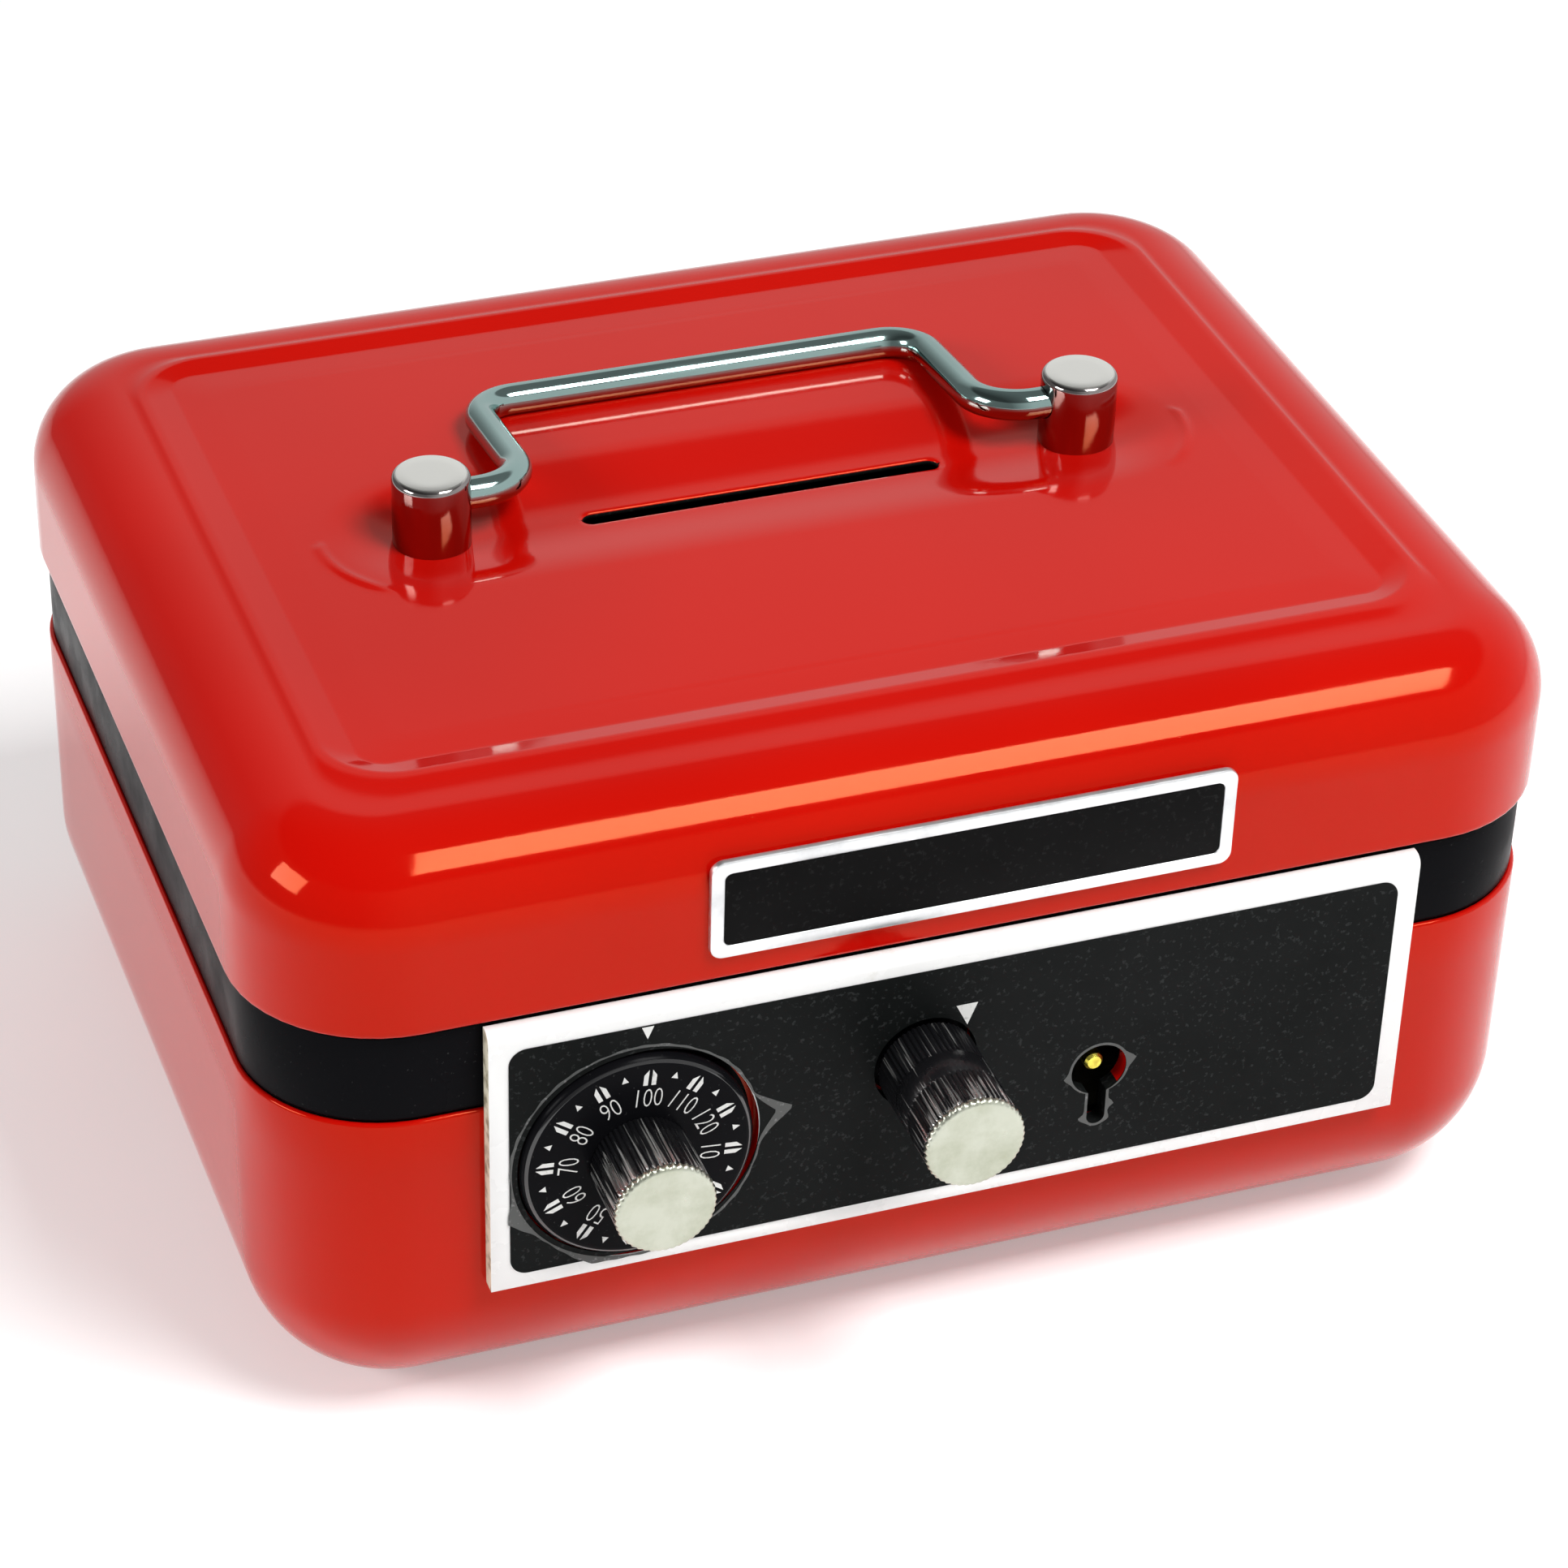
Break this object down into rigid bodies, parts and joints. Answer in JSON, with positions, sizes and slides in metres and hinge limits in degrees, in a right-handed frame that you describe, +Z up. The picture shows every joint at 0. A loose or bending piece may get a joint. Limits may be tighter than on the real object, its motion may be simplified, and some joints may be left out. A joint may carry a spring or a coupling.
{
  "type": "cash box",
  "caption": "Pressed-steel cash box with rounded shoulders, hinged lid, wire bail handle, coin slot, combination dial, push-button latch knob and key lock.",
  "frame": {"origin": "centre of the base's underside, on the surface it stands on", "axes": "+X to the right seen from the front, +Y to the back, +Z up"},
  "size_m": [0.152, 0.1425, 0.0835],
  "materials": {
    "red_enamel": "gloss enamel",
    "black_enamel": "gloss enamel",
    "white_enamel": "satin enamel",
    "black_film": "speckled matt film",
    "black_plastic": "gloss moulding",
    "satin_aluminium": "brushed",
    "chrome": "polished plating",
    "brass": "turned",
    "plated_steel": "zinc plating",
    "spring_steel": "drawn wire"
  },
  "bodies": {
    "base": {"base_shell": "red_enamel", "rim_frame": "black_enamel", "front_plate": "white_enamel", "front_label": "black_film", "lock_plate": "plated_steel", "lock_cover": "plated_steel", "key_pin": "brass", "bolt_stumps": "plated_steel", "hinge_leaf_base_left": "plated_steel", "hinge_leaf_base_right": "plated_steel", "hinge_pin_left": "plated_steel", "hinge_pin_right": "plated_steel"},
    "lid": {"lid_shell": "red_enamel", "name_plate": "satin_aluminium", "handle_post_left": "chrome", "handle_post_right": "chrome", "post_screws": "plated_steel", "catch_plate": "plated_steel", "hinge_leaf_lid_left": "plated_steel", "hinge_leaf_lid_right": "plated_steel"},
    "handle": {"handle_bail": "chrome"},
    "dial": {"dial_disc": "black_plastic", "dial_knob": "black_plastic", "dial_cap": "satin_aluminium", "dial_spindle": "plated_steel", "combination_wheel": "plated_steel"},
    "push": {"push_knob": "black_plastic", "push_cap": "satin_aluminium", "push_rod": "plated_steel", "latch_hook": "plated_steel", "push_spring": "spring_steel"},
    "bolt": {"lock_bolt": "plated_steel"}
  },
  "joints": [
    {"name": "lid_hinge", "type": "hinge", "parent": "base", "child": "lid", "pos_m": [0, 0.06305, 0.054], "axis": [-1, 0, 0], "range_deg": [0, 105]},
    {"name": "handle_swing", "type": "hinge", "parent": "lid", "child": "handle", "pos_m": [0, 0.0023, 0.0801], "axis": [1, 0, 0], "range_deg": [0, 190]},
    {"name": "dial_spin", "type": "hinge", "parent": "base", "child": "dial", "pos_m": [-0.03605, -0.06335, 0.0347], "axis": [0, 1, 0], "continuous": true},
    {"name": "push_slide", "type": "slide", "parent": "base", "child": "push", "axis": [0, 1, 0], "range_m": [0, 0.0026], "stiffness_N_per_m": 400, "springref_m": -0.002, "deforming": ["push_spring"]},
    {"name": "bolt_slide", "type": "slide", "parent": "base", "child": "bolt", "axis": [1, 0, 0], "range_m": [0, 0.005]}
  ]
}
